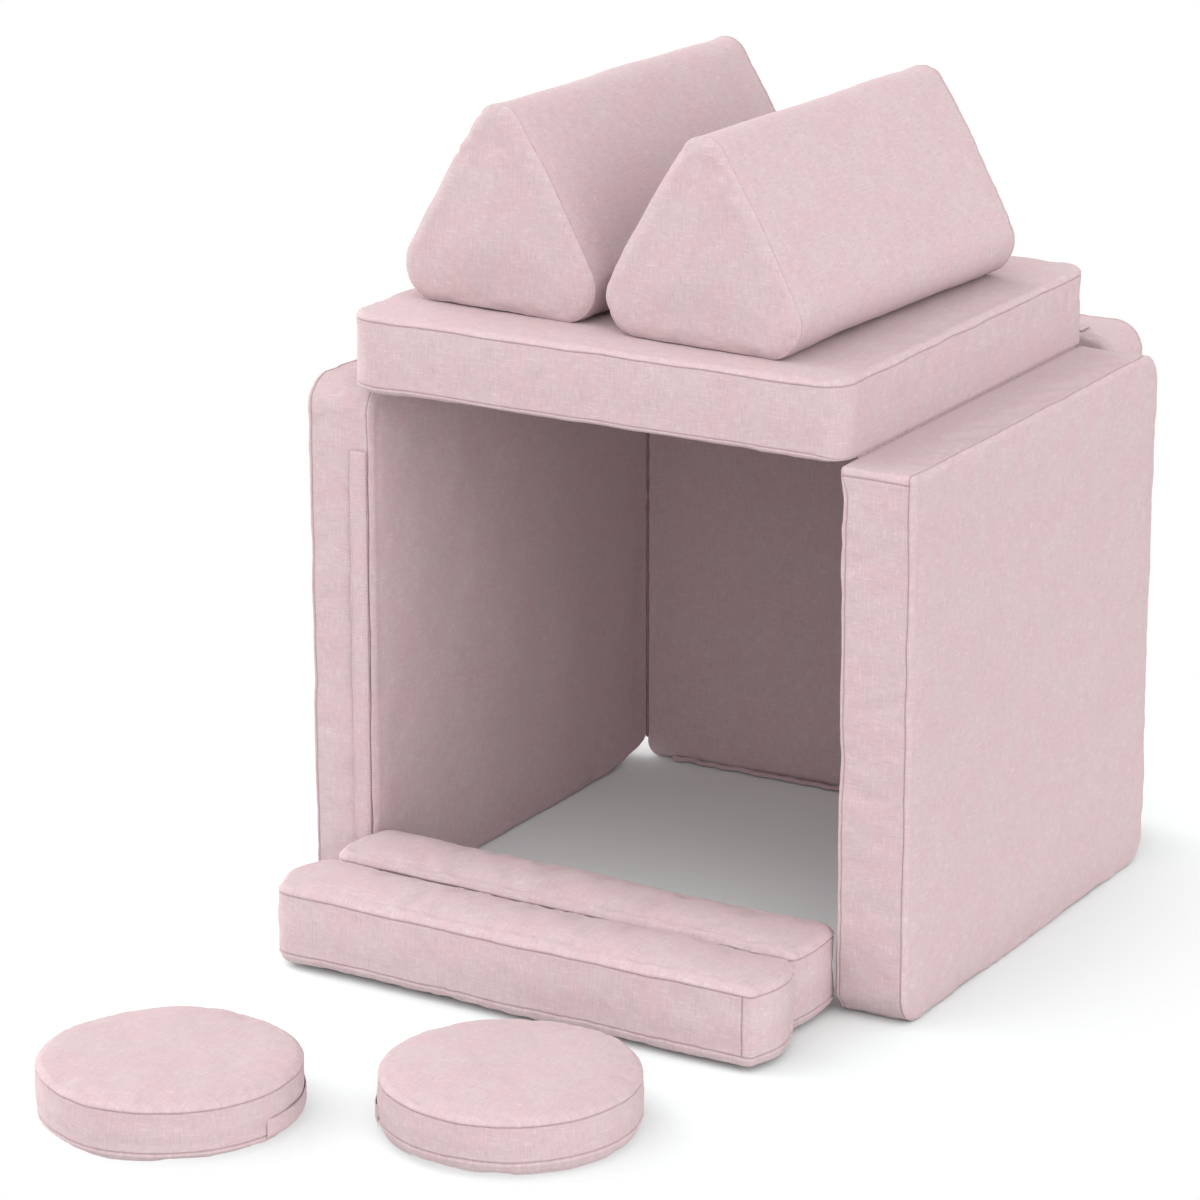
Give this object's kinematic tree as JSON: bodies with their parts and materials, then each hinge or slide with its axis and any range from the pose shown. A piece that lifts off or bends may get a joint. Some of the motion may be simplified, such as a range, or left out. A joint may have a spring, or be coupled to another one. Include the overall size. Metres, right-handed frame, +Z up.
{
  "type": "modular foam play sofa",
  "caption": "Foam play sofa of folding mats, wedges, bars and round cushions in zip-off melange covers, set up as a roofed play den.",
  "frame": {"origin": "on the floor, under the middle of the whole set", "axes": "+X to the right seen from the doorway side, +Y from the doorway towards the rear wall, +Z up"},
  "size_m": [0.8846, 1.6446, 1.0652],
  "materials": {
    "cloth": "matte melange weave",
    "foam": "matte open-cell foam",
    "zip_tape": "matte",
    "zip_metal": "satin"
  },
  "bodies": {
    "left_wall": {"left_wall_cover": "cloth", "left_wall_foam": "foam", "left_wall_zip": "zip_tape", "left_wall_zip_flap": "cloth", "wall_hinge_welt": "cloth"},
    "left_wall_slider": {"left_wall_zip_slider": "zip_metal"},
    "rear_wall": {"rear_wall_cover": "cloth", "rear_wall_foam": "foam", "rear_wall_zip": "zip_tape", "rear_wall_zip_flap": "cloth"},
    "rear_wall_slider": {"rear_wall_zip_slider": "zip_metal"},
    "right_wall": {"right_wall_cover": "cloth", "right_wall_foam": "foam", "right_wall_zip": "zip_tape", "right_wall_zip_flap": "cloth", "roof_hinge_welt": "cloth"},
    "right_wall_slider": {"right_wall_zip_slider": "zip_metal"},
    "roof": {"roof_cover": "cloth", "roof_foam": "foam", "roof_zip": "zip_tape", "roof_zip_flap": "cloth"},
    "roof_slider": {"roof_zip_slider": "zip_metal"},
    "left_wedge": {"left_wedge_cover": "cloth", "left_wedge_foam": "foam", "left_wedge_zip": "zip_tape", "left_wedge_zip_flap": "cloth"},
    "left_wedge_slider": {"left_wedge_zip_slider": "zip_metal"},
    "right_wedge": {"right_wedge_cover": "cloth", "right_wedge_foam": "foam", "right_wedge_zip": "zip_tape", "right_wedge_zip_flap": "cloth"},
    "right_wedge_slider": {"right_wedge_zip_slider": "zip_metal"},
    "near_bar": {"near_bar_cover": "cloth", "near_bar_foam": "foam", "near_bar_zip": "zip_tape", "near_bar_zip_flap": "cloth"},
    "near_bar_slider": {"near_bar_zip_slider": "zip_metal"},
    "far_bar": {"far_bar_cover": "cloth", "far_bar_foam": "foam", "far_bar_zip": "zip_tape", "far_bar_zip_flap": "cloth"},
    "far_bar_slider": {"far_bar_zip_slider": "zip_metal"},
    "left_disc": {"left_disc_cover": "cloth", "left_disc_foam": "foam", "left_disc_zip": "zip_tape", "left_disc_zip_flap": "cloth"},
    "left_disc_slider": {"left_disc_zip_slider": "zip_metal"},
    "right_disc": {"right_disc_cover": "cloth", "right_disc_foam": "foam", "right_disc_zip": "zip_tape", "right_disc_zip_flap": "cloth"},
    "right_disc_slider": {"right_disc_zip_slider": "zip_metal"}
  },
  "joints": [
    {"name": "rear_wall_fold", "type": "hinge", "parent": "left_wall", "child": "rear_wall", "pos_m": [-0.3393, 0.71925, 0], "axis": [0, 0, 1], "range_deg": [0, 90]},
    {"name": "right_wall_lift", "type": "slide", "parent": "left_wall", "child": "right_wall", "axis": [0, 0, 1], "range_m": [0, 0.3]},
    {"name": "roof_fold", "type": "hinge", "parent": "right_wall", "child": "roof", "pos_m": [0.3393, 0.34095, 0.6998], "axis": [0, 1, 0], "range_deg": [0, 90]},
    {"name": "left_wedge_lift", "type": "slide", "parent": "roof", "child": "left_wedge", "axis": [0, 0, 1], "range_m": [0, 0.3]},
    {"name": "right_wedge_lift", "type": "slide", "parent": "roof", "child": "right_wedge", "axis": [0, 0, 1], "range_m": [0, 0.3]},
    {"name": "near_bar_lift", "type": "slide", "parent": "left_wall", "child": "near_bar", "axis": [0, 0, 1], "range_m": [0, 0.3]},
    {"name": "far_bar_lift", "type": "slide", "parent": "left_wall", "child": "far_bar", "axis": [0, 0, 1], "range_m": [0, 0.3]},
    {"name": "left_disc_lift", "type": "slide", "parent": "left_wall", "child": "left_disc", "axis": [0, 0, 1], "range_m": [0, 0.3]},
    {"name": "right_disc_lift", "type": "slide", "parent": "left_wall", "child": "right_disc", "axis": [0, 0, 1], "range_m": [0, 0.3]},
    {"name": "left_wall_zip_slide", "type": "slide", "parent": "left_wall", "child": "left_wall_slider", "axis": [0, 0, 1], "range_m": [0, 0.498]},
    {"name": "rear_wall_zip_slide", "type": "slide", "parent": "rear_wall", "child": "rear_wall_slider", "axis": [1, 0, 0], "range_m": [0, 0.57]},
    {"name": "right_wall_zip_slide", "type": "slide", "parent": "right_wall", "child": "right_wall_slider", "axis": [0, 0, 1], "range_m": [0, 0.498]},
    {"name": "roof_zip_slide", "type": "slide", "parent": "roof", "child": "roof_slider", "axis": [1, 0, 0], "range_m": [0, 0.498]},
    {"name": "left_wedge_zip_slide", "type": "slide", "parent": "left_wedge", "child": "left_wedge_slider", "axis": [-0.0558, -0.9984, 0], "range_m": [0, 0.39]},
    {"name": "right_wedge_zip_slide", "type": "slide", "parent": "right_wedge", "child": "right_wedge_slider", "axis": [-0.0558, -0.9984, 0], "range_m": [0, 0.39]},
    {"name": "near_bar_zip_slide", "type": "slide", "parent": "near_bar", "child": "near_bar_slider", "axis": [0.9999, -0.014, 0], "range_m": [0, 0.53]},
    {"name": "far_bar_zip_slide", "type": "slide", "parent": "far_bar", "child": "far_bar_slider", "axis": [0.9997, -0.0262, 0], "range_m": [0, 0.53]},
    {"name": "left_disc_zip_slide", "type": "hinge", "parent": "left_disc", "child": "left_disc_slider", "pos_m": [-0.1853, -0.66675, 0], "axis": [0, 0, 1], "range_deg": [0, 158]},
    {"name": "right_disc_zip_slide", "type": "hinge", "parent": "right_disc", "child": "right_disc_slider", "pos_m": [0.1777, -0.49875, 0], "axis": [0, 0, 1], "range_deg": [0, 158]}
  ]
}
